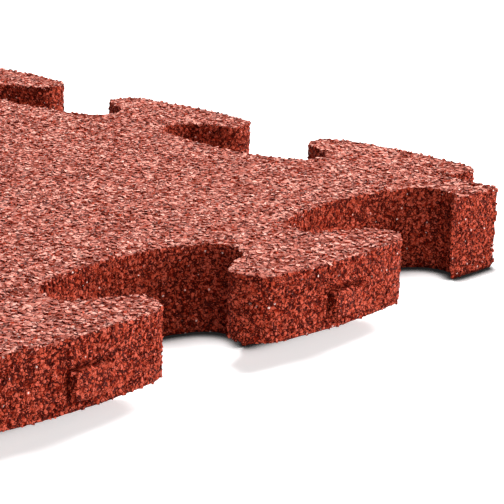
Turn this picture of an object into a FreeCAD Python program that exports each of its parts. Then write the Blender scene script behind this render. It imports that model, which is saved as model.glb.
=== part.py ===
import FreeCAD, Part
import math
import os
from FreeCAD import Vector

# Interlocking rubber safety tile: a square slab of bound rubber granules whose
# four sides are cut as rows of dovetailed puzzle tabs and pockets. The sides
# are alike under quarter turns, so any side locks with the opposite side of
# the next tile. Millimetres. Z is up, the tile rests on z = 0 and its middle
# is at x = y = 0.

# Laying size, and the joint's pitch as a share of it
MODULE_SIDE = 500.0
PITCH_SHARE = 0.22
TABS_PER_SIDE = 4
BODY_THICKNESS = 30.0
LAYING_GAP = 1.0

# Tab heads, measured outward from the edge of the laying square; their width
# is a share of the pitch
TAB_REACH = 22.0
TAB_HEAD_SHARE = 0.665
TAB_THICKNESS = 22.0

# Pockets, measured inward: the room that a tab gets all round
POCKET_END_ROOM = 5.0
POCKET_SIDE_ROOM = 3.0

# Shares of a head's reach: the rise of the tab's crown and of the pocket's back
# over their half width, and the radii of the corners by the crown and the neck
TAB_CROWN_SHARE = 0.16
POCKET_BACK_SHARE = 0.32
OUTER_CORNER_SHARE = 0.45
INNER_CORNER_SHARE = 0.34

# Spacer boss in the middle of each tab's end face
BOSS_WIDTH = 13.0
BOSS_HEIGHT = 8.0
BOSS_PROUD = 2.5
BOSS_ABOVE_TAB_UNDERSIDE = 4.0

# Values that follow from the sizes above
HALF_SIDE = MODULE_SIDE / 2.0
JOINT_PITCH = MODULE_SIDE * PITCH_SHARE
TAB_HEAD_WIDTH = JOINT_PITCH * TAB_HEAD_SHARE
EDGE_INSET = LAYING_GAP / 2.0
FIRST_TAB = (MODULE_SIDE - (TABS_PER_SIDE - 0.5) * JOINT_PITCH) / 2.0
TAB_LIFT = BODY_THICKNESS - TAB_THICKNESS
SIDES = 4


class Head:
    """Half outline of a tab head or of a pocket, seen from its own axis:
    along is the distance from the axis, out the distance from the edge of
    the laying square."""

    def __init__(self, reach, width, crown_share):
        rise = reach * crown_share
        self.reach = reach
        self.half_width = width / 2.0
        self.crown = (self.half_width**2 + rise**2) / (2.0 * rise)
        self.outer = reach * OUTER_CORNER_SHARE
        self.inner = reach * INNER_CORNER_SHARE
        arm = self.crown - self.outer
        self.outer_along = self.half_width - self.outer
        self.angle = math.asin(self.outer_along / arm)
        self.centre_out = reach - self.crown + arm * math.cos(self.angle)
        self.inner_along = self.half_width - self.inner

    def crown_end(self):
        """Where the crown's arc meets the outer corner's arc."""
        along = self.crown * math.sin(self.angle)
        return along, self.reach - self.crown + self.crown * math.cos(self.angle)

    def outer_point(self, turn):
        """Point of the outer corner, turn radians round from straight out."""
        along = self.outer_along + self.outer * math.sin(turn)
        return along, self.centre_out + self.outer * math.cos(turn)

    def inner_point(self, turn):
        """Point of the inner corner, turn radians round from straight out."""
        along = self.inner_along + self.inner * math.sin(turn)
        return along, self.centre_out + self.inner * math.cos(turn)

    def points(self, flank_turn):
        """Points of the half outline from the flank to the top of the crown."""
        side = math.pi / 2.0
        return [
            self.inner_point(flank_turn),
            self.inner_point((flank_turn + side) / 2.0),
            self.inner_point(side),
            self.outer_point((self.angle + side) / 2.0),
            self.crown_end(),
        ]


TAB = Head(TAB_REACH, TAB_HEAD_WIDTH, TAB_CROWN_SHARE)
POCKET = Head(
    TAB_REACH + POCKET_END_ROOM,
    TAB_HEAD_WIDTH + 2.0 * POCKET_SIDE_ROOM,
    POCKET_BACK_SHARE,
)


def flank_turn():
    """Direction, in radians round from straight out, that a tab's flank faces:
    it touches the inner corners of the tab and of the pocket beside it."""
    along = JOINT_PITCH / 2.0 - POCKET.inner_along - TAB.inner_along
    out = -POCKET.centre_out - TAB.centre_out
    span = math.hypot(along, out)
    bearing = math.atan2(along, out) % (2.0 * math.pi)
    return bearing - math.acos((TAB.inner + POCKET.inner) / span)


FLANK_TURN = flank_turn()


def on_side(along, out):
    """Point of the first side: along runs from the side's start corner, out
    is measured outward from the edge of the laying square."""
    return Vector(-HALF_SIDE + along, -HALF_SIDE - out, 0.0)


def bulge(centre, head, outward):
    """Side points of one tab (outward = 1) or pocket (outward = -1), from its
    first flank over the middle of its crown to its last flank."""
    half = head.points(FLANK_TURN)
    points = [(centre - along, out * outward) for along, out in half]
    points.append((centre, head.reach * outward))
    points += [(centre + along, out * outward) for along, out in reversed(half)]
    return points


def bulge_edges(points):
    """Edges of one bulge: five arcs, each through its middle point."""
    edges = []
    for start in range(0, len(points) - 1, 2):
        ends = [on_side(*point) for point in points[start : start + 3]]
        edges.append(Part.Arc(*ends).toShape())
    return edges


def flank_at_edge(foot, toward):
    """Where the flank that starts at foot meets the tile's straight edge;
    toward is 1 where it gets there along the side and -1 against it."""
    rise = abs(foot[1] + EDGE_INSET)
    return foot[0] + toward * rise / math.tan(math.pi - FLANK_TURN), -EDGE_INSET


def side_edges():
    """Edges of the first side, from its start corner to its end corner. Tabs
    and pockets take turns; the row starts with a tab and ends with a pocket."""
    bulges = []
    for number in range(TABS_PER_SIDE):
        tab_centre = FIRST_TAB + JOINT_PITCH * number
        bulges.append(bulge(tab_centre, TAB, 1))
        bulges.append(bulge(tab_centre + JOINT_PITCH / 2.0, POCKET, -1))
    start_corner = (EDGE_INSET, -EDGE_INSET)
    end_corner = (MODULE_SIDE - EDGE_INSET, -EDGE_INSET)
    tab_root = flank_at_edge(bulges[0][0], 1.0)
    pocket_lip = flank_at_edge(bulges[-1][-1], -1.0)
    edges = [Part.makeLine(on_side(*start_corner), on_side(*tab_root))]
    last = tab_root
    for points in bulges:
        edges.append(Part.makeLine(on_side(*last), on_side(*points[0])))
        edges += bulge_edges(points)
        last = points[-1]
    edges.append(Part.makeLine(on_side(*last), on_side(*pocket_lip)))
    edges.append(Part.makeLine(on_side(*pocket_lip), on_side(*end_corner)))
    return edges


def quarter_turn(shape, number):
    """The same shape on side number, a quarter turn further for each side."""
    turned = shape.copy()
    turned.rotate(Vector(0, 0, 0), Vector(0, 0, 1), 90.0 * number)
    return turned


def slab():
    """The whole puzzle outline at full thickness."""
    edges = []
    for number in range(SIDES):
        edges += [quarter_turn(edge, number) for edge in side_edges()]
    outline = Part.Wire(Part.__sortEdges__(edges))
    return Part.Face(outline).extrude(Vector(0, 0, BODY_THICKNESS))


def tab_relief():
    """The space under the tabs of the first side, outside the laying square."""
    reach = TAB_REACH + BOSS_PROUD
    corner = on_side(0.0, reach)
    return Part.makeBox(MODULE_SIDE, reach, TAB_LIFT, corner)


def boss(centre):
    """Spacer boss in the middle of a tab's end face, rooted inside the tab."""
    root = TAB_REACH / 2.0
    foot = TAB_LIFT + BOSS_ABOVE_TAB_UNDERSIDE
    corner = on_side(centre - BOSS_WIDTH / 2.0, TAB_REACH + BOSS_PROUD)
    return Part.makeBox(BOSS_WIDTH, BOSS_PROUD + root, BOSS_HEIGHT, corner + Vector(0, 0, foot))


def safety_tile():
    """The finished tile as one solid."""
    bosses = []
    reliefs = []
    for side in range(SIDES):
        reliefs.append(quarter_turn(tab_relief(), side))
        for number in range(TABS_PER_SIDE):
            tab_centre = FIRST_TAB + JOINT_PITCH * number
            bosses.append(quarter_turn(boss(tab_centre), side))
    tile = slab().cut(reliefs).fuse(bosses).removeSplitter()
    return tile.Solids[0] if len(tile.Solids) == 1 else tile


def main():
    """Build the tile and write it out."""
    os.makedirs("parts", exist_ok=True)
    tile = safety_tile()
    box = tile.BoundBox
    print("safety_tile", tile.ShapeType, tile.isValid(), len(tile.Solids), len(tile.Faces))
    print("size", box.XLength, box.YLength, box.ZLength, "volume", tile.Volume)
    tile.exportStep("parts/safety_tile.step")


main()
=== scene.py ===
"""Looks of an interlocking rubber safety tile of bound red granulate.

The body repeats the solid's outline with rounded, worn rims and a granular
relief. Grains are scattered over its walls and its top. Lengths are metres,
Z is up, and the tile's middle is at x = y = 0.
"""

import logging
import math
from dataclasses import dataclass, field
from enum import IntEnum
from typing import Dict, List, Optional, Sequence, Tuple, Union

import bmesh
import bpy
import numpy as np
from mathutils import Matrix, Vector, noise
from mathutils.geometry import delaunay_2d_cdt


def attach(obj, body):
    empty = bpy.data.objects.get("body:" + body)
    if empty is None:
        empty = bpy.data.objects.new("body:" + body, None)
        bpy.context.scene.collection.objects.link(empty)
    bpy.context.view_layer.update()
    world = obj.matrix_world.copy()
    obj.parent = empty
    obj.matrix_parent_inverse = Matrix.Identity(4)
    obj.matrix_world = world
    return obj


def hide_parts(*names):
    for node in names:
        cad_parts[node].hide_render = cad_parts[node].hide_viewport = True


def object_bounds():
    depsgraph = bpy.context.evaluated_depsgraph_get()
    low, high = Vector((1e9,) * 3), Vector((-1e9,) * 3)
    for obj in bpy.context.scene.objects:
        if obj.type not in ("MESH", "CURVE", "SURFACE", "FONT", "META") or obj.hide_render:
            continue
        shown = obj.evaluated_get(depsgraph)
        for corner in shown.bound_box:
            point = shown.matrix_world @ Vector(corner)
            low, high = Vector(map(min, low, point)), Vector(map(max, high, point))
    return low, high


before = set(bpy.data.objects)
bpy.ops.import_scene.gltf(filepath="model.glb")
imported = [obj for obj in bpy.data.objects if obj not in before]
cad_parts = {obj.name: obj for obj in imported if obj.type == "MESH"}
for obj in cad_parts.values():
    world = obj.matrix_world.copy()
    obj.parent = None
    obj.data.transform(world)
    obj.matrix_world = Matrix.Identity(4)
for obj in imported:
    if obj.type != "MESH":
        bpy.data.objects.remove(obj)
CAD_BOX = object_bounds()

LOG = logging.getLogger("safety_tile")
MM = 0.001
NODE = "safety_tile"
BODY = "root"
SIDES = 4
QUARTER_TURN = math.pi / 2.0

# Distances under which two places, or two heights, count as the same
SAME_PLACE = 2e-7
SAME_HEIGHT = 1e-7

# Number of points that are measured against a ring at once
BATCH = 2000

Colour = Tuple[float, float, float]
Flat = Tuple[float, float]
Place = Tuple[float, float, float]
Ramp = Tuple[Tuple[float, Colour], ...]
Socket = bpy.types.NodeSocket
Sockets = bpy.types.bpy_prop_collection
Value = Union[bool, float, str, Sequence[float], Socket]


class Zone(IntEnum):
    """Parts of the tile's surface. Only the top and the walls get grains."""

    TOP = 0
    WALL = 1
    UNDERSIDE = 2
    RIM = 3


@dataclass(frozen=True)
class Head:
    """Half outline of a tab head or a pocket, seen from its own axis. The
    reach is measured from the laying square's edge, the crown is the radius
    of the end's arc, and the shares give the corners' radii from the reach."""

    reach: float
    half_width: float
    crown: float
    outer_share: float = 0.45
    inner_share: float = 0.34

    @property
    def outer(self) -> float:
        """Radius of the corner by the crown."""
        return self.reach * self.outer_share

    @property
    def inner(self) -> float:
        """Radius of the corner by the neck."""
        return self.reach * self.inner_share

    @property
    def inner_along(self) -> float:
        """Distance of the inner corner's centre from the axis."""
        return self.half_width - self.inner

    @property
    def crown_angle(self) -> float:
        """Half the angle that the crown's arc spans."""
        return math.asin((self.half_width - self.outer) / (self.crown - self.outer))

    @property
    def centre_out(self) -> float:
        """Distance of both corners' centres from the laying square's edge."""
        arm = (self.crown - self.outer) * math.cos(self.crown_angle)
        return self.reach - self.crown + arm

    def half_outline(self, flank: float, step: float) -> np.ndarray:
        """Sample the half outline.

        Args:
            flank: direction that the flank faces, from straight out.
            step: largest distance between two points.

        Returns:
            Points (along, out) from the flank to the middle of the crown.
        """
        crown_centre = (0.0, self.reach - self.crown)
        outer_centre = (self.half_width - self.outer, self.centre_out)
        inner_centre = (self.inner_along, self.centre_out)
        arcs = (
            (inner_centre, self.inner, flank, QUARTER_TURN),
            (outer_centre, self.outer, QUARTER_TURN, self.crown_angle),
            (crown_centre, self.crown, self.crown_angle, 0.0),
        )
        points: List[Flat] = []
        for number, (centre, radius, start, end) in enumerate(arcs):
            count = max(2, math.ceil(abs(start - end) * radius / step))
            first = 1 if number else 0
            for turn in np.linspace(start, end, count + 1)[first:]:
                along = centre[0] + radius * math.sin(turn)
                points.append((along, centre[1] + radius * math.cos(turn)))
        return np.array(points)


@dataclass
class Outline:
    """The puzzle outline of the whole tile, as one closed row of points."""

    module: float = 500 * MM
    pitch: float = 110 * MM
    tabs: int = 4
    inset: float = 0.5 * MM
    step: float = 1.5 * MM
    tab: Head = Head(reach=22 * MM, half_width=36.575 * MM, crown=191.78 * MM)
    pocket: Head = Head(reach=27 * MM, half_width=39.575 * MM, crown=94.95 * MM)

    @property
    def first_tab(self) -> float:
        """Distance of the first tab's middle from the side's start corner."""
        return (self.module - (self.tabs - 0.5) * self.pitch) / 2.0

    @property
    def flank(self) -> float:
        """Direction that a tab's flank faces, from straight out."""
        along = self.pitch / 2.0 - self.pocket.inner_along - self.tab.inner_along
        out = -self.pocket.centre_out - self.tab.centre_out
        bearing = math.atan2(along, out) % (2.0 * math.pi)
        reach = (self.tab.inner + self.pocket.inner) / math.hypot(along, out)
        return bearing - math.acos(reach)

    def run(self, start: Sequence[float], end: Sequence[float]) -> List[Flat]:
        """Set points on a straight run.

        Args:
            start: first point of the run.
            end: last point of the run, which is left out.

        Returns:
            Points from the start up to the one before the end.
        """
        start_point, end_point = np.array(start), np.array(end)
        length = np.linalg.norm(end_point - start_point)
        count = max(1, math.ceil(length / self.step))
        shares = np.arange(count)[:, None] / count
        return [tuple(p) for p in start_point + (end_point - start_point) * shares]

    def crossing(self, foot: Sequence[float], toward: float) -> Flat:
        """Find where a bulge's flank crosses the tile's straight edge.

        Args:
            foot: point (along, out) where the flank starts.
            toward: 1 where it gets there along the side, -1 against it.

        Returns:
            The crossing (along, out).
        """
        rise = abs(foot[1] + self.inset)
        return foot[0] + toward * rise / math.tan(math.pi - self.flank), -self.inset

    def side(self) -> Tuple[List[Flat], List[bool]]:
        """Build one side, from its start corner up to its end corner.

        Returns:
            Points (along, out), and whether the run that starts at each
            point belongs to a tab.
        """
        points: List[Flat] = []
        on_tab: List[bool] = []

        def add(run: Sequence[Sequence[float]], tab: bool) -> None:
            """Append a run of points that all have the same owner.

            Args:
                run: the points (along, out).
                tab: whether they belong to a tab.
            """
            points.extend(tuple(map(float, p)) for p in run)
            on_tab.extend([tab] * len(run))

        last = (self.inset, -self.inset)
        for number in range(self.tabs):
            tab_centre = self.first_tab + self.pitch * number
            bulge = self.bulge(self.tab, tab_centre, 1.0)
            root = self.crossing(bulge[0], 1.0)
            end = self.crossing(bulge[-1], -1.0)
            add(self.run(last, root), False)
            add(self.run(root, bulge[0]), True)
            add(bulge[:-1], True)
            add(self.run(bulge[-1], end), True)
            bulge = self.bulge(self.pocket, tab_centre + self.pitch / 2.0, -1.0)
            add(self.run(end, bulge[0]), False)
            add(bulge[:-1], False)
            last = tuple(bulge[-1])
        lip = self.crossing(last, -1.0)
        add(self.run(last, lip), False)
        add(self.run(lip, (self.module - self.inset, -self.inset)), False)
        return points, on_tab

    def bulge(self, head: Head, centre: float, outward: float) -> np.ndarray:
        """Sample the whole outline of one tab or pocket.

        Args:
            head: the tab's or the pocket's half outline.
            centre: place of its axis along the side.
            outward: 1 for a tab, -1 for a pocket.

        Returns:
            Points (along, out) from its first flank to its last one.
        """
        half = head.half_outline(self.flank, self.step) * (1.0, outward)
        left = half * (-1.0, 1.0) + (centre, 0.0)
        right = (half + (centre, 0.0))[::-1][1:]
        return np.vstack([left, right])

    def lips(self) -> np.ndarray:
        """Places (x, y) where each side's last pocket meets the straight edge."""
        centre = self.first_tab + self.pitch * (self.tabs - 0.5)
        foot = self.bulge(self.pocket, centre, -1.0)[-1]
        along, out = self.crossing(foot, -1.0)
        x, y = along - self.module / 2.0, -self.module / 2.0 - out
        places = []
        for _ in range(SIDES):
            places.append((x, y))
            x, y = -y, x
        return np.array(places)

    def closed(self) -> Tuple[np.ndarray, np.ndarray]:
        """Join the four sides.

        Returns:
            Points (x, y) against the clock, and whether each point's run is
            on a tab.
        """
        points, on_tab = self.side()
        half = self.module / 2.0
        xy = np.array([(along - half, -half - out) for along, out in points])
        rings = []
        for number in range(SIDES):
            turn = number * QUARTER_TURN
            c, s = math.cos(turn), math.sin(turn)
            rings.append(xy @ np.array([[c, s], [-s, c]]))
        return np.vstack(rings), np.tile(on_tab, SIDES)


def inside_ring(xy: np.ndarray, ring: np.ndarray) -> np.ndarray:
    """Tell which points lie inside a closed ring.

    Args:
        xy: the points.
        ring: points of the ring.

    Returns:
        One truth value for each point.
    """
    inside = np.zeros(len(xy), bool)
    following = np.roll(ring, -1, axis=0)
    for (x0, y0), (x1, y1) in zip(ring, following):
        if y0 == y1:
            continue
        crosses = (xy[:, 1] < y0) != (xy[:, 1] < y1)
        reach = x0 + (xy[:, 1] - y0) * (x1 - x0) / (y1 - y0)
        inside ^= crosses & (xy[:, 0] < reach)
    return inside


def nearest_on(xy: np.ndarray, ring: np.ndarray) -> Tuple[np.ndarray, np.ndarray]:
    """Find the point of a dense ring that is nearest to each place.

    Args:
        xy: the places.
        ring: points of the ring.

    Returns:
        Numbers of the nearest points, and the distances from them.
    """
    nearest = np.zeros(len(xy), int)
    far = np.zeros(len(xy))
    for start in range(0, len(xy), BATCH):
        rows = slice(start, start + BATCH)
        squares = ((xy[rows, None, :] - ring[None, :, :]) ** 2).sum(2)
        nearest[rows] = squares.argmin(1)
        far[rows] = np.sqrt(squares.min(1))
    return nearest, far


def inward_ways(ring: np.ndarray) -> np.ndarray:
    """Find the way into the rubber at each point of a ring.

    Args:
        ring: points (x, y) against the clock.

    Returns:
        Unit vectors (x, y).
    """
    along = np.roll(ring, -1, axis=0) - np.roll(ring, 1, axis=0)
    ways = np.stack([-along[:, 1], along[:, 0]], -1)
    return ways / np.maximum(np.linalg.norm(ways, axis=1, keepdims=True), 1e-9)


def read_vectors(mesh: bpy.types.Mesh, name: str) -> np.ndarray:
    """Read a vector of each point of a mesh.

    Args:
        mesh: the mesh.
        name: "co" for the places, "normal" for the normals.

    Returns:
        One row (x, y, z) for each point.
    """
    values = np.zeros(len(mesh.vertices) * 3)
    mesh.vertices.foreach_get(name, values)
    return values.reshape(-1, 3)


def write_places(mesh: bpy.types.Mesh, places: np.ndarray) -> None:
    """Move the points of a mesh.

    Args:
        mesh: the mesh.
        places: one row (x, y, z) for each point.
    """
    mesh.vertices.foreach_set("co", places.ravel())
    mesh.update()


def mark_faces(mesh: bpy.types.Mesh, name: str, values: Sequence[int]) -> None:
    """Write a whole number on each face of a mesh.

    Args:
        mesh: the mesh.
        name: name of the attribute.
        values: one number for each face.
    """
    mark = mesh.attributes.new(name, "INT", "FACE")
    mark.data.foreach_set("value", np.array(values, np.int32))


@dataclass
class Skin:
    """Points and faces of the body's skin while it is put together."""

    points: List[Place] = field(default_factory=list)
    faces: List[Tuple[int, ...]] = field(default_factory=list)
    zones: List[int] = field(default_factory=list)

    def add_points(self, points: Sequence[Place]) -> int:
        """Append points.

        Args:
            points: places (x, y, z).

        Returns:
            The number of the first one.
        """
        base = len(self.points)
        self.points.extend(points)
        return base

    def add_faces(self, base: int, faces: Sequence[Sequence[int]], zone: Zone,
                  flip: bool = False) -> None:
        """Append faces.

        Args:
            base: number of the point that the faces call 0.
            faces: numbers of their points.
            zone: the zone that they belong to.
            flip: whether they are turned to face the other way.
        """
        for face in faces:
            row = [base + k for k in face]
            self.faces.append(tuple(reversed(row)) if flip else tuple(row))
            self.zones.append(int(zone))

    def mesh(self, name: str) -> bpy.types.Mesh:
        """Join all patches to one mesh.

        Args:
            name: name of the mesh.

        Returns:
            The mesh, with its zones.
        """
        mesh = bpy.data.meshes.new(name)
        mesh.from_pydata(self.points, [], self.faces)
        mark_faces(mesh, "zone", self.zones)
        work = bmesh.new()
        work.from_mesh(mesh)
        bmesh.ops.remove_doubles(work, verts=work.verts, dist=SAME_PLACE)
        open_edges = sum(1 for edge in work.edges if not edge.is_manifold)
        work.to_mesh(mesh)
        work.free()
        counts = (len(mesh.vertices), len(mesh.polygons), open_edges)
        LOG.info("skin: %d points, %d faces, %d open edges", *counts)
        return mesh


@dataclass(frozen=True)
class Uneven:
    """A share that varies with the roughness of a place."""

    mean: float
    spread: float

    def at(self, rough: float) -> float:
        """Share at a place of this roughness."""
        return self.mean + self.spread * rough


@dataclass(frozen=True)
class Boss:
    """Worn spacer block on a tab's end face, with the gap round it."""

    width: float = 13 * MM
    height: float = 8 * MM
    proud: float = 2.5 * MM
    root: float = 4 * MM
    foot: float = 12 * MM
    moat: float = 1.0 * MM
    moat_depth: float = 1.0 * MM
    behind: float = 1.2 * MM
    cuts: int = 9
    squareness: int = 12
    wear: float = 0.03
    wear_level: float = 0.6
    wear_scale: float = 420.0
    wear_shift: float = 7.0

    def mesh(self, outline: Outline, centre: float, side: int) -> bpy.types.Mesh:
        """Build one block.

        Args:
            outline: the tile's outline.
            centre: place of the block along its side.
            side: number of the side.

        Returns:
            A closed mesh, in place.
        """
        work = bmesh.new()
        bmesh.ops.create_cube(work, size=2.0)
        bmesh.ops.subdivide_edges(work, edges=work.edges[:], cuts=self.cuts, use_grid_fill=True)
        half = outline.module / 2.0
        size = Vector((self.width, self.proud + self.root, self.height)) / 2.0
        front = -half - outline.tab.reach - self.proud
        middle = Vector((centre - half, front + size.y, self.foot + size.z))
        turn = Matrix.Rotation(side * QUARTER_TURN, 4, "Z")
        other = Vector((side * self.wear_shift, 0.0, 0.0))
        for vert in work.verts:
            power = sum(abs(c) ** self.squareness for c in vert.co) ** (1.0 / self.squareness)
            local = Vector([c / power * s for c, s in zip(vert.co, size)])
            worn = noise.noise((middle + local) * self.wear_scale + other)
            vert.co = turn @ (middle + local * (1.0 - self.wear * (worn + self.wear_level)))
        bmesh.ops.recalc_face_normals(work, faces=work.faces[:])
        mesh = bpy.data.meshes.new("boss")
        work.to_mesh(mesh)
        work.free()
        mark_faces(mesh, "zone", [int(Zone.WALL)] * len(mesh.polygons))
        return mesh

    def covers(self, outline: Outline, place: Sequence[float]) -> bool:
        """Tell whether a place is behind or beside a block.

        Args:
            outline: the tile's outline.
            place: a place (x, y, z) on the skin.

        Returns:
            True on a tab's end face, where the block or its gap is.
        """
        x, y, z = place
        for _ in range(round(math.atan2(x, -y) / QUARTER_TURN) % SIDES):
            x, y = y, -x
        half = outline.module / 2.0
        if -half - y < outline.tab.reach - self.behind:
            return False
        along = (x + half - outline.first_tab + outline.pitch / 2.0) % outline.pitch
        aside = abs(along - outline.pitch / 2.0)
        low, high = self.foot - self.moat, self.foot + self.height + self.moat
        return aside < self.width / 2.0 + self.moat and low < z < high


@dataclass
class TileBody:
    """The tile's closed skin: top, puzzle walls, undersides and end bosses."""

    outline: Outline = field(default_factory=Outline)
    boss: Boss = Boss()
    thickness: float = 30 * MM
    lift: float = 8 * MM

    # Upper rims, lower rims of the tabs, and the tile's foot
    rim: float = 1.5 * MM
    rim_share: Uneven = Uneven(0.75, 0.55)
    lip_share: Uneven = Uneven(0.22, 0.25)
    undercut: float = 1.5 * MM
    undercut_share: Uneven = Uneven(0.45, 0.30)
    rough_scales: Flat = (260.0, 700.0)

    # Sharp corners of the foot; flatter corners than this aren't worn
    foot_reach: float = 6.0 * MM
    foot_wear: float = 2.5 * MM
    flat_corner: float = 0.3

    # Granular relief, with the top's bed for the grains
    grain: float = 1.9 * MM
    relief: float = 0.38 * MM
    grain_share: float = 1.1
    swell_share: float = 0.25
    swell_level: float = 0.3
    swell_scale: float = 95.0
    underside_share: float = 0.5
    wall_share: float = 0.6
    top_bed: float = 0.42 * MM
    level_slope: float = 0.7
    wall_slope: float = 0.5

    # Spacing of the skin's points
    top_cell: float = 5.2 * MM
    head_cell: float = 3.5 * MM
    bottom_cell: float = 14 * MM
    top_insets: Tuple[float, ...] = (0.5 * MM, 1.1 * MM, 2.3 * MM)
    foot_row: float = 1.3 * MM
    lip_rows: Flat = (0.7 * MM, 2.1 * MM)
    rim_rows: Tuple[float, ...] = (2.2 * MM, 1.3 * MM, 0.8 * MM, 0.4 * MM, 0.0)
    low_rows: int = 5
    high_rows: int = 10
    shake: float = 0.25
    clearance: float = 0.45
    inset_slack: float = 0.93
    seed: int = 11

    def wall_rows(self) -> Tuple[List[float], List[float]]:
        """Choose the heights of the rows of points on a wall.

        Returns:
            Heights below the tabs' underside, and heights above it.
        """
        low = [0.0, self.undercut]
        low += list(np.linspace(self.undercut + self.foot_row, self.lift, self.low_rows))
        first, second = self.lip_rows
        deepest, *rest = self.rim_rows
        high = [self.lift, self.lift + first]
        high += list(np.linspace(self.lift + second, self.thickness - deepest, self.high_rows))
        high += [self.thickness - depth for depth in rest]
        return low, high

    def flat(self, ring: np.ndarray, cell: float, height: float,
             insets: Sequence[float] = ()) -> Tuple[List[Place], List[Tuple[int, ...]]]:
        """Fill a closed ring with triangles.

        Args:
            ring: points (x, y) of the edge.
            cell: spacing of the points inside.
            height: height of the face.
            insets: distances of extra rows of points from the edge.

        Returns:
            Points (x, y, z) and triangles, the ring's points first.
        """
        low, high = ring.min(0), ring.max(0)
        axis = [np.arange(low[k] + cell / 2.0, high[k], cell) for k in (0, 1)]
        grid = np.stack(np.meshgrid(*axis, indexing="ij"), -1).reshape(-1, 2)
        random = np.random.RandomState(self.seed)
        grid += random.uniform(-self.shake, self.shake, grid.shape) * cell
        grid = grid[inside_ring(grid, ring)]
        deepest = max(insets, default=0.0)
        grid = grid[nearest_on(grid, ring)[1] > deepest + cell * self.clearance]
        rows = [ring, grid]
        for number, inset in enumerate(insets):
            thinned = slice(number % 2, None, 2) if number else slice(None)
            row = (ring + inward_ways(ring) * inset)[thinned]
            clear = nearest_on(row, ring)[1] > inset * self.inset_slack
            rows.append(row[clear & inside_ring(row, ring)])
        corners = [Vector(p) for p in np.vstack(rows)]
        loop = list(range(len(ring)))
        points, _, faces, _, _, _ = delaunay_2d_cdt(corners, [], [loop], 1, SAME_HEIGHT)
        return [(p.x, p.y, height) for p in points], [tuple(face) for face in faces]

    @staticmethod
    def necks(on_tab: np.ndarray) -> List[Tuple[int, int]]:
        """Find where the tabs start and end on the ring.

        Args:
            on_tab: for each point of the ring, whether its run is on a tab.

        Returns:
            The first point of each tab and the first point after it.
        """
        before = np.roll(on_tab, 1)
        starts = np.flatnonzero(on_tab & ~before)
        ends = np.flatnonzero(~on_tab & before)
        if ends[0] < starts[0]:
            ends = np.roll(ends, -1)
        return list(zip(starts.tolist(), ends.tolist()))

    def tips(self, ring: np.ndarray, on_tab: np.ndarray) -> Tuple[np.ndarray, np.ndarray]:
        """Find the sharp corners of the tile's foot.

        Args:
            ring: points (x, y) of the outline.
            on_tab: for each point, whether its run is on a tab.

        Returns:
            Their places (x, y), and the way from each into the rubber.
        """
        corners = []
        count = len(ring)
        for start, end in self.necks(on_tab):
            corners.append((ring[start], ring[start - 1], ring[end % count]))
            corners.append((ring[end % count], ring[(end + 1) % count], ring[start]))
        for lip in self.outline.lips():
            k = int(((ring - lip) ** 2).sum(1).argmin())
            corners.append((ring[k], ring[k - 1], ring[(k + 1) % count]))
        tips, ways = [], []
        for tip, first, second in corners:
            way = sum((p - tip) / np.linalg.norm(p - tip) for p in (first, second))
            if np.linalg.norm(way) > self.flat_corner:
                tips.append(tip)
                ways.append(way / np.linalg.norm(way))
        return np.array(tips), np.array(ways)

    def wall(self, skin: Skin, run: np.ndarray, rows: Sequence[float],
             free: Sequence[bool]) -> None:
        """Append an upright wall to the skin.

        Args:
            skin: the skin that it joins.
            run: points (x, y) of the wall's foot.
            rows: heights of its rows of points.
            free: for each column, whether the wall's foot is a free lower rim.
        """
        base = skin.add_points([(x, y, z) for z in rows for x, y in run])
        wide = len(run)
        quads: Dict[Zone, List[Tuple[int, ...]]] = {Zone.WALL: [], Zone.RIM: []}
        for r in range(len(rows) - 1):
            for c in range(wide - 1):
                a = r * wide + c
                middle = (*(run[c] + run[c + 1]) / 2.0, (rows[r] + rows[r + 1]) / 2.0)
                bare = (r == 0 and free[c]) or self.boss.covers(self.outline, middle)
                zone = Zone.RIM if bare else Zone.WALL
                quads[zone].append((a, a + 1, a + wide + 1, a + wide))
        for zone, faces in quads.items():
            skin.add_faces(base, faces, zone)

    def shell(self) -> bpy.types.Object:
        """Build the sharp-edged skin with its zones, before any wear.

        Returns:
            The body's object, linked to the scene.
        """
        ring, on_tab = self.outline.closed()
        low, high = self.wall_rows()
        count = len(ring)
        skin = Skin()
        self.wall(skin, np.vstack([ring, ring[:1]]), high, on_tab)
        lower: List[np.ndarray] = []
        necks = self.necks(on_tab)
        for number, (start, end) in enumerate(necks):
            stop = necks[(number + 1) % len(necks)][0]
            root = ring[end % count]
            neck = np.array(self.outline.run(ring[start], root) + [tuple(root)])
            span = [(end + k) % count for k in range((stop - end) % count + 1)]
            for run in (neck, ring[span]):
                self.wall(skin, run, low, [True] * len(run))
                lower.append(run[:-1])
            head = np.vstack([ring[start:end], neck[::-1][:-1]]) if end > start else neck
            points, faces = self.flat(head, self.head_cell, self.lift)
            skin.add_faces(skin.add_points(points), faces, Zone.UNDERSIDE, flip=True)
        points, faces = self.flat(ring, self.top_cell, self.thickness, self.top_insets)
        skin.add_faces(skin.add_points(points), faces, Zone.TOP)
        points, faces = self.flat(np.vstack(lower), self.bottom_cell, 0.0)
        skin.add_faces(skin.add_points(points), faces, Zone.UNDERSIDE, flip=True)
        body = bpy.data.objects.new("tile_body", skin.mesh("tile_body"))
        bpy.context.scene.collection.objects.link(body)
        return body

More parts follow.
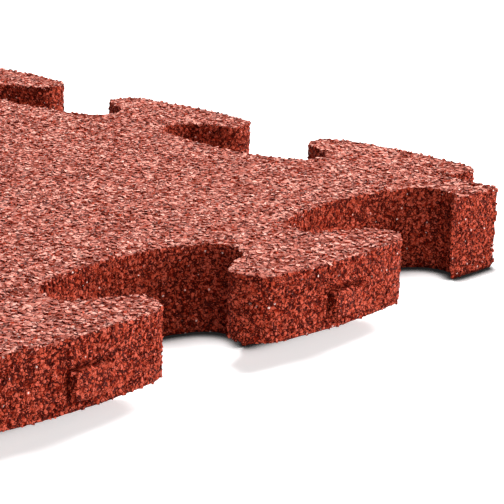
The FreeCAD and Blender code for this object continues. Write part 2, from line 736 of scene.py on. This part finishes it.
    def rounded(self, sharp: np.ndarray) -> np.ndarray:
        """Round the rims and wear the foot.

        Args:
            sharp: places of the sharp-edged skin's points.

        Returns:
            Their new places.
        """
        ring, on_tab = self.outline.closed()
        inward = inward_ways(ring)
        nearest, far = nearest_on(sharp[:, :2], ring)
        tips, ways = self.tips(ring, on_tab)
        tip_of, tip_gap = nearest_on(sharp[:, :2], tips)
        on_wall = far < SAME_PLACE
        on_top = sharp[:, 2] > self.thickness - SAME_HEIGHT
        diagonal = math.radians(45.0)
        coarse, fine = self.rough_scales
        new = sharp.copy()
        for k, place in enumerate(map(Vector, sharp)):
            z = sharp[k, 2]
            rough = noise.noise(place * coarse) * 0.5 + noise.noise(place * fine) * 0.5
            radius = self.rim * self.rim_share.at(rough)
            way = inward[nearest[k]]
            depth = self.thickness - z
            if on_wall[k] and depth < radius:
                turn = diagonal * (1.0 - depth / radius)
                new[k, :2] += way * (radius * (1.0 - math.cos(turn)))
                new[k, 2] = self.thickness - radius * (1.0 - math.sin(turn))
            elif on_top[k] and far[k] < radius:
                turn = diagonal * (1.0 + far[k] / radius)
                new[k, :2] += way * (radius * (1.0 - math.cos(turn)) - far[k])
                new[k, 2] = self.thickness - radius * (1.0 - math.sin(turn))
            if on_wall[k] and abs(z - self.lift) < SAME_HEIGHT:
                new[k, :2] += way * self.rim * self.lip_share.at(rough)
            close = min(tip_gap[k] / self.foot_reach, 1.0)
            if on_wall[k] and z < SAME_HEIGHT:
                new[k, :2] += way * self.undercut * self.undercut_share.at(rough) * close ** 2
            if close < 1.0 and z < self.foot_reach:
                worn = (1.0 - close ** 2) * (1.0 - z / self.foot_reach)
                new[k, :2] += ways[tip_of[k]] * self.foot_wear * worn
        return new

    def pressed(self, sharp: np.ndarray, smooth: np.ndarray, normals: np.ndarray) -> np.ndarray:
        """Press the granular relief and the bosses' gaps into the skin.

        Args:
            sharp: places of the sharp-edged skin's points.
            smooth: their places on the rounded skin.
            normals: the rounded skin's normals.

        Returns:
            Their new places.
        """
        ring, _ = self.outline.closed()
        on_wall = nearest_on(sharp[:, :2], ring)[1] < SAME_PLACE
        new = smooth.copy()
        for k, place in enumerate(map(Vector, smooth)):
            slope = normals[k, 2]
            cell = noise.voronoi(place / self.grain)[0][0]
            swell = noise.noise(place * self.swell_scale) + self.swell_level
            depth = self.relief * (min(cell, 1.0) * self.grain_share + self.swell_share * swell)
            if slope < -self.level_slope:
                depth *= self.underside_share
            elif slope > self.level_slope:
                depth += self.top_bed
            elif abs(slope) < self.wall_slope:
                depth -= self.relief * self.wall_share
            if on_wall[k] and self.boss.covers(self.outline, sharp[k]):
                depth += self.boss.moat_depth
            new[k] -= normals[k] * depth
        return new

    def add_bosses(self, body: bpy.types.Object) -> None:
        """Add the end bosses of all the tabs to the skin.

        Args:
            body: the finished skin's object.
        """
        work = bmesh.new()
        work.from_mesh(body.data)
        for side in range(SIDES):
            for number in range(self.outline.tabs):
                centre = self.outline.first_tab + self.outline.pitch * number
                boss = self.boss.mesh(self.outline, centre, side)
                work.from_mesh(boss)
                bpy.data.meshes.remove(boss)
        work.to_mesh(body.data)
        work.free()

    def build(self) -> bpy.types.Object:
        """Build the finished body.

        Returns:
            The body's object, linked to the scene.
        """
        body = self.shell()
        sharp = read_vectors(body.data, "co")
        smooth = self.rounded(sharp)
        write_places(body.data, smooth)
        normals = read_vectors(body.data, "normal")
        write_places(body.data, self.pressed(sharp, smooth, normals))
        self.add_bosses(body)
        return body


class Nodes:
    """Short hand for building a node tree from a script."""

    def __init__(self, tree: bpy.types.NodeTree) -> None:
        """Keep the tree that nodes are added to."""
        self.tree = tree

    def add(self, kind: str, values: Optional[Dict] = None, **settings: object) -> bpy.types.Node:
        """Add a node.

        Args:
            kind: the node's type.
            values: socket name or number to a value or an output to link.
            settings: the node's own properties.

        Returns:
            The new node.
        """
        node = self.tree.nodes.new(kind)
        for key, value in settings.items():
            setattr(node, key, value)
        for key, value in (values or {}).items():
            self.feed(node.inputs[key], value)
        return node

    def feed(self, socket: Socket, value: Value) -> None:
        """Give a socket its input.

        Args:
            socket: the input socket.
            value: a plain value, or an output to link.
        """
        if isinstance(value, Socket):
            self.tree.links.new(value, socket)
        else:
            socket.default_value = value

    def math(self, operation: str, *values: Value) -> Socket:
        """Add a Math node.

        Args:
            operation: what it works out.
            values: its inputs, in order.

        Returns:
            Its output.
        """
        node = self.add("ShaderNodeMath", dict(enumerate(values)), operation=operation)
        return node.outputs[0]

    def vector(self, operation: str, *values: Value) -> Socket:
        """Add a Vector Math node.

        Args:
            operation: what it works out.
            values: its inputs, in order.

        Returns:
            Its output, the vector or for a dot product the number.
        """
        node = self.add("ShaderNodeVectorMath", dict(enumerate(values)), operation=operation)
        return node.outputs["Value" if operation == "DOT_PRODUCT" else "Vector"]

    def scaled(self, value: Value, factor: Value) -> Socket:
        """Scale a vector.

        Args:
            value: the vector.
            factor: the scale.

        Returns:
            The scaled vector.
        """
        inputs = {0: value, "Scale": factor}
        return self.add("ShaderNodeVectorMath", inputs, operation="SCALE").outputs[0]

    def noise(self, place: Socket, scale: float, detail: float, output: str = "Fac") -> Socket:
        """Add a Noise Texture.

        Args:
            place: the coordinates.
            scale: cells in a metre.
            detail: number of finer layers.
            output: name of the wanted output.

        Returns:
            That output.
        """
        inputs = {"Vector": place, "Scale": scale, "Detail": detail}
        return self.add("ShaderNodeTexNoise", inputs).outputs[output]

    def cells(self, place: Socket, scale: Value, feature: str = "F1") -> bpy.types.Node:
        """Add a Voronoi Texture.

        Args:
            place: the coordinates.
            scale: cells in a metre.
            feature: what it measures.

        Returns:
            The node.
        """
        return self.add("ShaderNodeTexVoronoi", {"Vector": place, "Scale": scale}, feature=feature)

    def channels(self, colour: Socket) -> Sockets:
        """Split a colour into its three channels."""
        return self.add("ShaderNodeSeparateColor", {0: colour}).outputs

    def span(self, value: Value, low: float, high: float,
             start: float = 0.0, end: float = 1.0) -> Socket:
        """Map a value smoothly from one range to another.

        Args:
            value: the value to map.
            low: where the range starts.
            high: where the range ends.
            start: result at low.
            end: result at high.

        Returns:
            The mapped value.
        """
        inputs = {"Value": value, "From Min": low, "From Max": high, "To Min": start, "To Max": end}
        node = self.add("ShaderNodeMapRange", inputs, interpolation_type="SMOOTHSTEP")
        return node.outputs["Result"]

    def ramp(self, value: Value, stops: Ramp) -> Socket:
        """Add a colour ramp.

        Args:
            value: the place on the ramp.
            stops: places and their colours.

        Returns:
            The colour.
        """
        node = self.add("ShaderNodeValToRGB", {0: value})
        elements = node.color_ramp.elements
        while len(elements) < len(stops):
            elements.new(0.5)
        for element, (place, colour) in zip(elements, stops):
            element.position = place
            element.color = (*colour, 1.0)
        return node.outputs[0]

    def mix(self, share: Value, first: Value, second: Value) -> Socket:
        """Mix two colours.

        Args:
            share: share of the second colour.
            first: the first colour.
            second: the second colour, an output or a plain colour.

        Returns:
            The mixed colour.
        """
        node = self.add("ShaderNodeMix", data_type="RGBA", blend_type="MIX")
        if not isinstance(second, Socket):
            second = (*second, 1.0)
        for number, value in ((0, share), (6, first), (7, second)):
            self.feed(node.inputs[number], value)
        return node.outputs[2]


def declare(tree: bpy.types.NodeTree, in_out: str, **kinds: str) -> None:
    """Give a node group its sockets.

    Args:
        tree: the group.
        in_out: "INPUT" or "OUTPUT".
        kinds: names of the sockets and their types.
    """
    for name, kind in kinds.items():
        tree.interface.new_socket(name, in_out=in_out, socket_type="NodeSocket" + kind)


@dataclass(frozen=True)
class GrainMosaic:
    """Shader node group of a mosaic of pressed grains. Scales are cells in a
    metre; ranges run from the value where an effect starts to where it ends."""

    name: str = "pressed grain mosaic"
    wobble_scale: float = 900.0
    fine_scale: float = 2600.0
    fine_share: float = 0.35
    dome: float = 0.35
    gap_least: float = 0.12
    gap_spread: float = 2.6
    gap_edge: Flat = (0.30, 1.0)
    glint_scale: float = 1050.0
    glint_chance: float = 0.980
    glint_edge: Flat = (0.32, 0.42)
    pit_scale: float = 850.0
    pit_chance: float = 0.80
    pit_edge: Flat = (0.32, 0.50)

    def spots(self, n: Nodes, place: Socket, scale: float, chance: float, edge: Flat) -> Socket:
        """Make round spots in a few cells.

        Args:
            n: the group's nodes.
            place: the coordinates.
            scale: cells in a metre.
            chance: share of the cells that stay without a spot.
            edge: distances from a cell's middle where its spot fades.

        Returns:
            A mask of the spots.
        """
        node = n.cells(place, scale)
        chosen = n.math("GREATER_THAN", n.channels(node.outputs["Color"])[0], chance)
        return n.math("MULTIPLY", chosen, n.span(node.outputs["Distance"], *edge, 1.0, 0.0))

    def build(self) -> bpy.types.NodeTree:
        """Build the group once.

        Returns:
            The group, shared by all the finishes.
        """
        known = bpy.data.node_groups.get(self.name)
        if known:
            return known
        tree = bpy.data.node_groups.new(self.name, "ShaderNodeTree")
        declare(tree, "INPUT", Scale="Float", Gap="Float", Wobble="Float")
        declare(tree, "OUTPUT", Grain="Float", Second="Float", Gaps="Float", Height="Float",
                Glints="Float", Pits="Float", Lean="Float", Tilt="Vector")
        n = Nodes(tree)
        inputs = n.add("NodeGroupInput").outputs
        middle = (0.5, 0.5, 0.5)

        place = n.add("ShaderNodeTexCoord").outputs["Object"]
        wobble = n.noise(place, self.wobble_scale, 2.0, "Color")
        shift = n.scaled(n.vector("SUBTRACT", wobble, middle), inputs["Wobble"])
        moved = n.vector("ADD", place, shift)
        cells = n.cells(moved, inputs["Scale"])
        edges = n.cells(moved, inputs["Scale"], "DISTANCE_TO_EDGE").outputs["Distance"]
        parts = n.channels(cells.outputs["Color"])

        uneven = n.math("MULTIPLY", parts[2], parts[2])
        share = n.math("ADD", self.gap_least, n.math("MULTIPLY", uneven, self.gap_spread))
        width = n.math("MULTIPLY", inputs["Gap"], share)
        gaps = n.span(n.math("DIVIDE", edges, width), *self.gap_edge, 1.0, 0.0)

        fine = n.noise(place, self.fine_scale, 3.0)
        height = n.math("ADD", n.span(edges, 0.0, self.dome), n.math("MULTIPLY", fine, self.fine_share))

        tilt = n.vector("SUBTRACT", cells.outputs["Color"], middle)
        # Painted facet shade: each grain's tone grows along its random tilt, as if one side were lit
        # and the other shaded
        offset = n.vector("SUBTRACT", moved, cells.outputs["Position"])
        lean = n.vector("DOT_PRODUCT", n.scaled(offset, inputs["Scale"]), tilt)
        # Spots for the painted glints
        glints = self.spots(n, place, self.glint_scale, self.glint_chance, self.glint_edge)
        pits = self.spots(n, moved, self.pit_scale, self.pit_chance, self.pit_edge)
        n.add("NodeGroupOutput", {
            "Grain": parts[0], "Second": parts[1], "Gaps": gaps, "Height": height,
            "Glints": glints, "Pits": pits, "Lean": lean, "Tilt": tilt})
        return tree


@dataclass(frozen=True)
class GrainTones:
    """Colours of the rubber grains, and a painted shade for the hollows between them. Both ramps run
    from dark to pale.
    """

    # Painted shade in the gaps between grains and in the pits
    hollow_shade: Colour = (0.055, 0.0025, 0.0008)
    # Painted glints: pale specks mixed into the colour as highlights
    glint: Colour = (0.950, 0.700, 0.630)
    cut: Ramp = (
        (0.00, (0.200, 0.011, 0.003)),
        (0.12, (0.370, 0.034, 0.013)),
        (0.30, (0.510, 0.064, 0.029)),
        (0.55, (0.580, 0.085, 0.042)),
        (0.85, (0.620, 0.100, 0.055)),
        (1.00, (0.660, 0.120, 0.073)),
    )
    # Top colours: paler partly from wear and partly from a painted sheen
    trodden_and_sheen: Ramp = (
        (0.00, (0.240, 0.034, 0.016)),
        (0.12, (0.360, 0.074, 0.047)),
        (0.30, (0.490, 0.126, 0.089)),
        (0.50, (0.600, 0.181, 0.134)),
        (0.72, (0.700, 0.241, 0.183)),
        (0.90, (0.800, 0.320, 0.249)),
        (1.00, (0.930, 0.439, 0.353)),
    )


@dataclass(frozen=True)
class Variation:
    """A noise that makes the grains darker in one place and paler in another."""

    scale: float
    detail: float
    share: float


@dataclass(frozen=True)
class GranulateFinish:
    """Bound rubber granulate: a mosaic of pressed grains with dark gaps, which
    are painted shade. The walls show cut grains, the top shows trodden ones,
    paler partly from wear and partly from a painted sheen."""

    name: str
    scattered: bool = False
    tones: GrainTones = GrainTones()
    mosaic: GrainMosaic = GrainMosaic()

    # Grains in a metre, gaps between them, and shift of their tones. The body's
    # skin is shifted darker than the loose grains on it, a painted shade in the
    # hollows under them
    wall_scale: float = 1050.0
    top_scale: float = 620.0
    wall_gap: float = 0.19
    top_gap: float = 0.08
    wall_shade_shift: float = -0.20
    top_shade_shift: float = 0.04
    wobble: float = 1.0 * MM

    # What varies the tones: patches, clumps and specks, a tint for each loose
    # grain, and a painted shade across each pressed grain, paler on one side and
    # darker on the other
    variations: Tuple[Variation, ...] = (
        Variation(60.0, 3.0, 0.40),
        Variation(260.0, 2.0, 0.25),
        Variation(1900.0, 3.0, 0.80),
    )
    tint_share: float = 0.4
    facet_shade_share: float = 1.2

    # Slopes from wall to top, and heights from wall to trodden top, whose paler
    # colour is partly wear and partly a painted sheen
    top_slope: Flat = (0.50, 0.55)
    worn_and_sheen_slope: Flat = (0.35, 0.90)
    worn_and_sheen_level: Flat = (27.5 * MM, 29.5 * MM)
    pits_filled: float = 0.7

    # Gloss and relief
    ior: float = 1.5
    sheen: float = 0.06
    roughness: Flat = (0.45, 0.85)
    tilt: float = 0.22
    bump: float = 0.8
    bump_depth: float = 0.6 * MM

    def tone(self, n: Nodes, place: Socket, mosaic: Sockets) -> Socket:
        """Work out how dark or pale each grain is.

        Args:
            n: the material's nodes.
            place: the coordinates.
            mosaic: the mosaic's outputs.

        Returns:
            The tone, about 0 for dark and 1 for pale.
        """
        spreads = [(n.noise(place, v.scale, v.detail), v.share) for v in self.variations]
        if self.scattered:
            tint = n.add("ShaderNodeAttribute", attribute_name="grain_tint").outputs["Fac"]
            spreads.append((tint, self.tint_share))
        tone = mosaic["Grain"]
        for value, share in spreads:
            centred = n.math("SUBTRACT", value, 0.5)
            tone = n.math("ADD", tone, n.math("MULTIPLY", centred, share))
        # Adds the painted facet shade of each pressed grain
        return n.math("ADD", tone, n.math("MULTIPLY", mosaic["Lean"], self.facet_shade_share))

    def colour(self, n: Nodes, place: Socket, up: Socket, mosaic: Sockets) -> Socket:
        """Colour the grains, the painted glints and the painted shade of the hollows.

        Args:
            n: the material's nodes.
            place: the coordinates.
            up: how far the surface faces up.
            mosaic: the mosaic's outputs.

        Returns:
            The colour.
        """
        level = n.add("ShaderNodeSeparateXYZ", {0: place}).outputs["Z"]
        # worn: where the top's paler colour goes, partly real wear and partly a painted sheen
        worn = n.math("MULTIPLY", n.span(up, *self.worn_and_sheen_slope), n.span(level, *self.worn_and_sheen_level))
        tone = self.tone(n, place, mosaic)
        cut = n.ramp(n.math("ADD", tone, self.wall_shade_shift), self.tones.cut)
        trodden_and_sheen = n.ramp(n.math("ADD", tone, self.top_shade_shift), self.tones.trodden_and_sheen)
        # Mixes in the painted glints
        colour = n.mix(mosaic["Glints"], n.mix(worn, cut, trodden_and_sheen), self.tones.glint)
        left = n.math("SUBTRACT", 1.0, n.math("MULTIPLY", worn, self.pits_filled))
        pits = n.math("MULTIPLY", mosaic["Pits"], left)
        # Gaps and pits take the hollow colour, a painted shade in these crevices
        return n.mix(n.math("MAXIMUM", mosaic["Gaps"], pits), colour, self.tones.hollow_shade)

    def normal(self, n: Nodes, facing: Socket, mosaic: Sockets) -> Socket:
        """Lean each grain a little and round it.

        Args:
            n: the material's nodes.
            facing: the surface's normal.
            mosaic: the mosaic's outputs.

        Returns:
            The new normal.
        """
        leaning = n.vector("ADD", facing, n.scaled(mosaic["Tilt"], self.tilt))
        inputs = {
            "Strength": self.bump, "Distance": self.bump_depth,
            "Height": mosaic["Height"], "Normal": n.vector("NORMALIZE", leaning)}
        return n.add("ShaderNodeBump", inputs).outputs[0]

    def build(self) -> bpy.types.Material:
        """Make the material.

        Returns:
            The material.
        """
        material = bpy.data.materials.new(self.name)
        material.use_nodes = True
        material.node_tree.nodes.clear()
        n = Nodes(material.node_tree)
        place = n.add("ShaderNodeTexCoord").outputs["Object"]
        geometry = n.add("ShaderNodeNewGeometry").outputs
        up = n.add("ShaderNodeSeparateXYZ", {0: geometry["True Normal"]}).outputs["Z"]
        mosaic = n.add("ShaderNodeGroup", node_tree=self.mosaic.build())
        n.feed(mosaic.inputs["Scale"], n.span(up, *self.top_slope, self.wall_scale, self.top_scale))
        n.feed(mosaic.inputs["Gap"], n.span(up, *self.top_slope, self.wall_gap, self.top_gap))
        n.feed(mosaic.inputs["Wobble"], self.wobble)
        shader = n.add("ShaderNodeBsdfPrincipled", {
            "IOR": self.ior,
            "Specular IOR Level": self.sheen,
            "Base Color": self.colour(n, place, up, mosaic.outputs),
            "Roughness": n.span(mosaic.outputs["Second"], 0.0, 1.0, *self.roughness),
            "Normal": self.normal(n, geometry["Normal"], mosaic.outputs)})
        n.add("ShaderNodeOutputMaterial", {"Surface": shader.outputs[0]})
        return material


@dataclass
class GrainScatter:
    """Loose-edged grains spread over one zone of one side of the body."""

    name: str
    zone: Zone
    side: int
    spacing: float
    size: Place
    seed: int
    material: bpy.types.Material
    sink: float = 0.18 * MM
    chip_share: float = 0.22
    lean: float = 0.30
    half_turn: float = 3.1416
    least: Place = (0.7, 0.7, 0.8)
    most: Place = (1.3, 1.25, 1.2)
    densest: float = 3.0e6
    tint_seed: float = 5.0

    def chosen(self, n: Nodes, inputs: Sockets) -> Socket:
        """Choose the faces that get grains.

        Args:
            n: the tree's nodes.
            inputs: the tree's inputs.

        Returns:
            True on the faces of the wanted zone and side.
        """
        same = []
        for name in ("Zone", "Side"):
            mark = n.add("GeometryNodeInputNamedAttribute", {"Name": name.lower()}, data_type="INT")
            pair = {2: mark.outputs["Attribute"], 3: inputs[name]}
            test = n.add("FunctionNodeCompare", pair, data_type="INT", operation="EQUAL")
            same.append(test.outputs[0])
        both = n.add("FunctionNodeBooleanMath", dict(enumerate(same)), operation="AND")
        return both.outputs[0]

    def random(self, n: Nodes, low: Value, high: Value, seed: Socket) -> Socket:
        """Draw a random vector for each grain or corner.

        Args:
            n: the tree's nodes.
            low: the least vector.
            high: the greatest vector.
            seed: the seed of the draw.

        Returns:
            The vector.
        """
        inputs = {"Min": low, "Max": high, "Seed": seed}
        node = n.add("FunctionNodeRandomValue", inputs, data_type="FLOAT_VECTOR")
        return node.outputs["Value"]

    def placed(self, n: Nodes, inputs: Sockets) -> Socket:
        """Set a turned and scaled block on each point, sunk into the body.

        Args:
            n: the tree's nodes.
            inputs: the tree's inputs.

        Returns:
            The blocks as instances.
        """
        seed = inputs["Seed"]
        points = n.add("GeometryNodeDistributePointsOnFaces", {
            "Mesh": inputs["Geometry"], "Selection": self.chosen(n, inputs),
            "Distance Min": inputs["Spacing"], "Density Max": self.densest,
            "Seed": seed}, distribute_method="POISSON").outputs
        block = n.add("GeometryNodeMeshCube", {"Size": inputs["Size"]}).outputs["Mesh"]
        most_turned = (self.lean, self.lean, self.half_turn)
        spin = self.random(n, tuple(-angle for angle in most_turned), most_turned, seed)
        spin = n.add("FunctionNodeEulerToRotation", {0: spin}).outputs[0]
        pair = {0: points["Rotation"], 1: spin}
        turned = n.add("FunctionNodeRotateRotation", pair, rotation_space="LOCAL").outputs[0]
        blocks = n.add("GeometryNodeInstanceOnPoints", {
            "Points": points["Points"], "Instance": block, "Rotation": turned,
            "Scale": self.random(n, self.least, self.most, seed)}).outputs[0]
        down = n.add("ShaderNodeCombineXYZ", {"Z": n.math("MULTIPLY", inputs["Sink"], -1.0)})
        return n.add("GeometryNodeTranslateInstances", {
            "Instances": blocks, "Translation": down.outputs[0], "Local Space": True}).outputs[0]

    def tree(self) -> bpy.types.NodeTree:
        """Build the scatter tree once, with named inputs for its sizes.

        Returns:
            The tree, shared by all the zones and sides.
        """
        known = bpy.data.node_groups.get("grain scatter")
        if known:
            return known
        tree = bpy.data.node_groups.new("grain scatter", "GeometryNodeTree")
        declare(tree, "INPUT", Geometry="Geometry", Zone="Int", Side="Int", Spacing="Float",
                Size="Vector", Sink="Float", Jitter="Float", Seed="Int", Material="Material")
        declare(tree, "OUTPUT", Geometry="Geometry")
        n = Nodes(tree)
        inputs = n.add("NodeGroupInput").outputs
        draw = {2: 0.0, 3: 1.0, "Seed": n.math("ADD", inputs["Seed"], self.tint_seed)}
        tint = n.add("FunctionNodeRandomValue", draw, data_type="FLOAT").outputs[1]
        stored = n.add("GeometryNodeStoreNamedAttribute", {
            "Geometry": self.placed(n, inputs), "Name": "grain_tint",
            "Value": tint}, data_type="FLOAT", domain="INSTANCE").outputs[0]
        real = n.add("GeometryNodeRealizeInstances", {0: stored}).outputs[0]
        low, high = (n.scaled((sign,) * 3, inputs["Jitter"]) for sign in (-1.0, 1.0))
        chip = self.random(n, low, high, inputs["Seed"])
        moved = n.add("GeometryNodeSetPosition", {"Geometry": real, "Offset": chip}).outputs[0]
        shading = {"Geometry": moved, "Shade Smooth": False}
        flat = n.add("GeometryNodeSetShadeSmooth", shading).outputs[0]
        dress = {"Geometry": flat, "Material": inputs["Material"]}
        dressed = n.add("GeometryNodeSetMaterial", dress).outputs[0]
        n.add("NodeGroupOutput", {0: dressed})
        return tree

    def build(self, body: bpy.types.Object) -> bpy.types.Object:
        """Scatter the grains over the body.

        Args:
            body: the finished skin, with its zones and sides.

        Returns:
            The grains as one plain mesh.
        """
        carrier = bpy.data.objects.new(self.name + "_carrier", body.data)
        bpy.context.scene.collection.objects.link(carrier)
        modifier = carrier.modifiers.new("grains", "NODES")
        tree = self.tree()
        modifier.node_group = tree
        values = {
            "Zone": int(self.zone), "Side": self.side, "Spacing": self.spacing,
            "Size": self.size, "Sink": self.sink, "Jitter": min(self.size) * self.chip_share,
            "Seed": self.seed, "Material": self.material}
        for item in tree.interface.items_tree:
            if item.item_type == "SOCKET" and item.in_out == "INPUT" and item.name in values:
                modifier[item.identifier] = values[item.name]
        graph = bpy.context.evaluated_depsgraph_get()
        mesh = bpy.data.meshes.new_from_object(carrier.evaluated_get(graph), depsgraph=graph)
        bpy.data.objects.remove(carrier)
        mesh.name = self.name
        keep_inside(mesh)
        grains = bpy.data.objects.new(self.name, mesh)
        bpy.context.scene.collection.objects.link(grains)
        corners = 8
        counts = (len(mesh.vertices) // corners, len(mesh.polygons))
        LOG.info("%s: %d grains, %d faces", self.name, *counts)
        return grains


def keep_inside(mesh: bpy.types.Mesh) -> None:
    """Hold every point of a mesh inside the solid's box.

    Args:
        mesh: the mesh, in place.
    """
    low, high = (np.array(corner) for corner in CAD_BOX)
    margin = 0.01 * MM
    places = np.clip(read_vectors(mesh, "co"), low + margin, high - margin)
    write_places(mesh, places)


def mark_sides(mesh: bpy.types.Mesh) -> None:
    """Write on each face which side of the tile it is nearest to.

    Args:
        mesh: the body's mesh.
    """
    centre = np.zeros(len(mesh.polygons) * 3)
    mesh.polygons.foreach_get("center", centre)
    centre = centre.reshape(-1, 3)
    angle = np.arctan2(centre[:, 1], centre[:, 0]) + QUARTER_TURN * 1.5
    mark_faces(mesh, "side", np.floor(angle / QUARTER_TURN).astype(np.int32) % SIDES)


@dataclass(frozen=True)
class Lamp:
    """A soft square lamp that shines at the tile's near side."""

    name: str
    place: Place
    power: float
    size: float = 0.6
    target: Place = (0.0, -0.1, 0.0)

    def build(self) -> None:
        """Make the lamp."""
        data = bpy.data.lights.new(self.name, "AREA")
        data.shape = "SQUARE"
        data.size = self.size
        data.energy = self.power
        lamp = bpy.data.objects.new(self.name, data)
        bpy.context.scene.collection.objects.link(lamp)
        lamp.location = self.place
        aim = Vector(self.target) - Vector(self.place)
        lamp.rotation_euler = aim.to_track_quat("-Z", "Y").to_euler()


@dataclass
class Studio:
    """Floor, lamps and camera of the photograph."""

    # Camera: sizes in pixels of the photograph, angles in radians
    focal_px: float = 2008.30
    centre_px: Flat = (154.01, 263.06)
    image_px: float = 504.0
    azimuth: float = 0.7994
    dip: float = 0.2778
    roll: float = -0.0144
    place: Place = (-0.33046, -0.64463, 0.19687)
    sensor: float = 36.0

    lamps: Tuple[Lamp, ...] = (
        Lamp("overhead", (0.40, 0.30, 1.70), 24.0),
        Lamp("right", (1.30, -0.60, 1.30), 27.0),
        Lamp("front", (0.90, -1.50, 0.35), 12.0),
        Lamp("left", (-0.90, -1.50, 0.70), 7.0),
        Lamp("back", (1.40, 1.20, 0.70), 3.0),
    )
    ambient: float = 0.06

    # Floor, just under the tile's own underside. A painted contact shadow makes it
    # go dark within a narrow line where the tile stands
    reach: float = 6.0
    drop: float = 0.3 * MM
    contact_shadow_width: float = 7.6 * MM
    contact_shadow_edge: Flat = (0.50, 0.95)
    shadow_and_floor_tones: Flat = (0.02, 0.90)
    glow: float = 0.60

    def camera(self) -> None:
        """Make the camera."""
        data = bpy.data.cameras.new("camera")
        data.sensor_width = self.sensor
        data.sensor_fit = "HORIZONTAL"
        data.lens = self.focal_px / self.image_px * data.sensor_width
        data.shift_x = 0.5 - self.centre_px[0] / self.image_px
        data.shift_y = self.centre_px[1] / self.image_px - 0.5
        data.clip_start = 0.01
        data.clip_end = 20.0
        camera = bpy.data.objects.new("camera", data)
        bpy.context.scene.collection.objects.link(camera)
        az, dip = self.azimuth, self.dip
        level = math.cos(dip)
        forward = Vector((math.sin(az) * level, math.cos(az) * level, -math.sin(dip)))
        right = Vector((math.cos(az), -math.sin(az), 0.0))
        down = forward.cross(right)
        c, s = math.cos(self.roll), math.sin(self.roll)
        right, down = c * right + s * down, -s * right + c * down
        turn = Matrix((right, -down, -forward)).transposed()
        camera.matrix_world = Matrix.Translation(self.place) @ turn.to_4x4()
        bpy.context.scene.camera = camera

    @staticmethod
    def background_rays(n: Nodes) -> Socket:
        """Tell which rays show the white background: seen, mirrored or passed.

        Args:
            n: nodes of the floor's material or of the world.

        Returns:
            1 for such a ray and 0 for the others.
        """
        path = n.add("ShaderNodeLightPath").outputs
        mirrored = n.math("MAXIMUM", path["Is Glossy Ray"], path["Is Transmission Ray"])
        return n.math("MAXIMUM", path["Is Camera Ray"], mirrored)

    def floor(self) -> None:
        """Make the pale floor, with a painted contact shadow where the tile stands."""
        mesh = bpy.data.meshes.new("floor")
        signs = ((-1, -1), (1, -1), (1, 1), (-1, 1))
        corners = [(x * self.reach, y * self.reach, -self.drop) for x, y in signs]
        mesh.from_pydata(corners, [], [(0, 1, 2, 3)])
        floor = bpy.data.objects.new("floor", mesh)
        bpy.context.scene.collection.objects.link(floor)
        material = bpy.data.materials.new("pale floor")
        material.use_nodes = True
        material.node_tree.nodes.clear()
        n = Nodes(material.node_tree)
        # Painted contact shadow: ambient occlusion darkens the floor's colour and its glow close to the
        # tile
        nearby = n.add("ShaderNodeAmbientOcclusion", {"Distance": self.contact_shadow_width}, samples=8)
        clear = n.span(nearby.outputs["AO"], *self.contact_shadow_edge, *self.shadow_and_floor_tones)
        grey = n.add("ShaderNodeCombineColor", {0: clear, 1: clear, 2: clear}).outputs[0]
        paper = n.add("ShaderNodeBsdfDiffuse", {"Color": grey}).outputs[0]
        seen = n.math("MULTIPLY", self.background_rays(n), clear)
        strength = n.math("MULTIPLY", seen, self.glow)
        light = {"Color": (1.0, 1.0, 1.0, 1.0), "Strength": strength}
        lift = n.add("ShaderNodeEmission", light).outputs[0]
        both = n.add("ShaderNodeAddShader", {0: paper, 1: lift}).outputs[0]
        n.add("ShaderNodeOutputMaterial", {"Surface": both})
        mesh.materials.append(material)

    def world(self) -> None:
        """Make the surroundings: soft white light, plain white where seen."""
        world = bpy.data.worlds.new("studio")
        bpy.context.scene.world = world
        world.use_nodes = True
        world.node_tree.nodes.clear()
        n = Nodes(world.node_tree)
        rest = n.math("MULTIPLY", self.background_rays(n), 1.0 - self.ambient)
        light = {"Color": (1.0, 1.0, 1.0, 1.0), "Strength": n.math("ADD", self.ambient, rest)}
        sky = n.add("ShaderNodeBackground", light).outputs[0]
        n.add("ShaderNodeOutputWorld", {"Surface": sky})

    def build(self) -> None:
        """Set up the whole studio."""
        self.camera()
        self.floor()
        self.world()
        for lamp in self.lamps:
            lamp.build()


def scatter_grains(body: bpy.types.Object) -> List[bpy.types.Object]:
    """Cover the walls and the top of all four sides with grains.

    Args:
        body: the finished skin, with its zones and sides.

    Returns:
        The grains of each side's walls and top.
    """
    # The loose grains are shifted paler than the body's skin, which carries painted shade in the
    # hollows under them
    finish = GranulateFinish(
        "loose-edged grains", scattered=True, wall_shade_shift=0.16, top_shade_shift=0.20, bump=0.35).build()
    kinds = (
        ("wall_grains", Zone.WALL, 1.50 * MM, (1.5 * MM, 1.3 * MM, 0.85 * MM), 20),
        ("top_grains", Zone.TOP, 2.15 * MM, (1.7 * MM, 1.35 * MM, 1.0 * MM), 40),
    )
    grains = []
    for side in range(SIDES):
        for name, zone, spacing, size, seed in kinds:
            scatter = GrainScatter(
                f"{name}_{side + 1}", zone, side, spacing, size, seed + side, finish)
            grains.append(scatter.build(body))
    return grains


def main() -> None:
    """Build, dress and light the tile."""
    logging.basicConfig(level=logging.INFO, format="%(name)s: %(message)s")
    bpy.context.scene.view_settings.view_transform = "Standard"
    body = TileBody().build()
    mark_sides(body.data)
    keep_inside(body.data)
    body.data.materials.append(GranulateFinish("pressed granulate").build())
    for piece in [body, *scatter_grains(body)]:
        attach(piece, BODY)
        triangles = sum(len(p.vertices) - 2 for p in piece.data.polygons)
        LOG.info("piece %s: %d triangles", piece.name, triangles)
    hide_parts(NODE)
    Studio().build()


if __name__ == "__main__":
    main()
